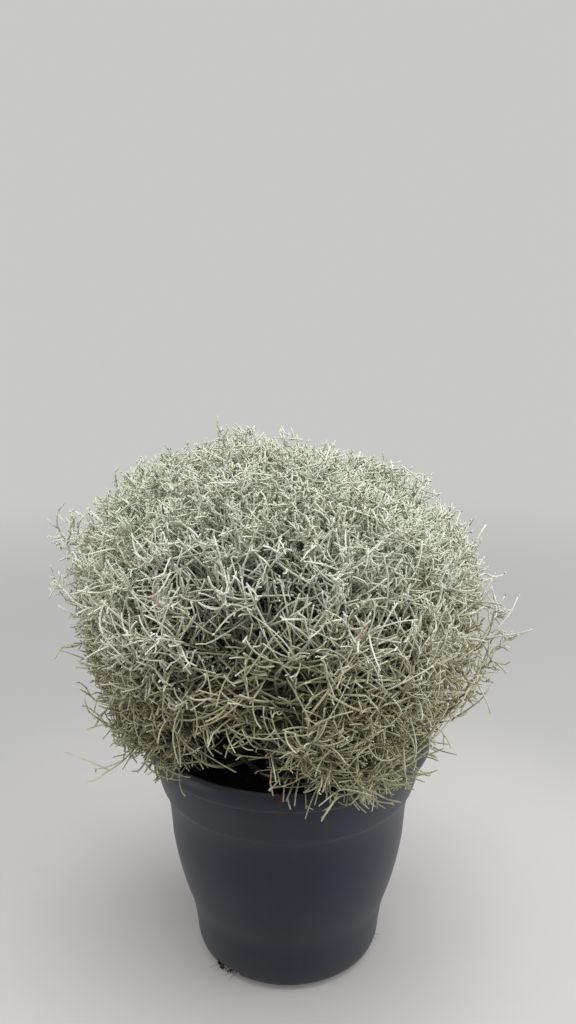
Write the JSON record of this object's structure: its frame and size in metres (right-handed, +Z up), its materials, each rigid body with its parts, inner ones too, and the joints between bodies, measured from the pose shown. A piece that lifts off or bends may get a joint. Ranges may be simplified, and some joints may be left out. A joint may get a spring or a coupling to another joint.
{
  "type": "potted cushion bush",
  "caption": "Rounded dome of wiry, felted silver-green twigs that overhangs the rim of a plain dark plastic plant pot filled with soil.",
  "frame": {"origin": "centre of the pot's flat base, on the surface that it stands on", "axes": "+Z up through the pot's axis, -Y towards the viewer of the picture, +X to that viewer's right"},
  "size_m": [0.4141, 0.4016, 0.5213],
  "materials": {
    "pot_plastic": "dark anthracite moulded plastic, satin, a little dusty",
    "soil": "dark moist peat with crumbs and bark",
    "felted_twigs": "matt silver-green felt, whiter on bare stems"
  },
  "bodies": {
    "root": {"pot": "pot_plastic", "soil": "soil", "leafy_stem_01": "felted_twigs", "leafy_stem_02": "felted_twigs", "leafy_stem_03": "felted_twigs", "leafy_stem_04": "felted_twigs", "leafy_stem_05": "felted_twigs", "leafy_stem_06": "felted_twigs", "leafy_stem_07": "felted_twigs", "leafy_stem_08": "felted_twigs", "leafy_stem_09": "felted_twigs", "leafy_stem_10": "felted_twigs", "leafy_stem_11": "felted_twigs", "leafy_stem_12": "felted_twigs", "leafy_stem_13": "felted_twigs", "leafy_stem_14": "felted_twigs", "leafy_stem_15": "felted_twigs", "leafy_stem_16": "felted_twigs", "leafy_stem_17": "felted_twigs", "leafy_stem_18": "felted_twigs", "leafy_stem_19": "felted_twigs", "leafy_stem_20": "felted_twigs", "leafy_stem_21": "felted_twigs", "leafy_stem_22": "felted_twigs", "leafy_stem_23": "felted_twigs", "leafy_stem_24": "felted_twigs", "leafy_stem_25": "felted_twigs", "leafy_stem_26": "felted_twigs", "leafy_stem_27": "felted_twigs", "leafy_stem_28": "felted_twigs", "leafy_stem_29": "felted_twigs", "leafy_stem_30": "felted_twigs", "leafy_stem_31": "felted_twigs", "leafy_stem_32": "felted_twigs", "leafy_stem_33": "felted_twigs", "leafy_stem_34": "felted_twigs"}
  },
  "joints": []
}
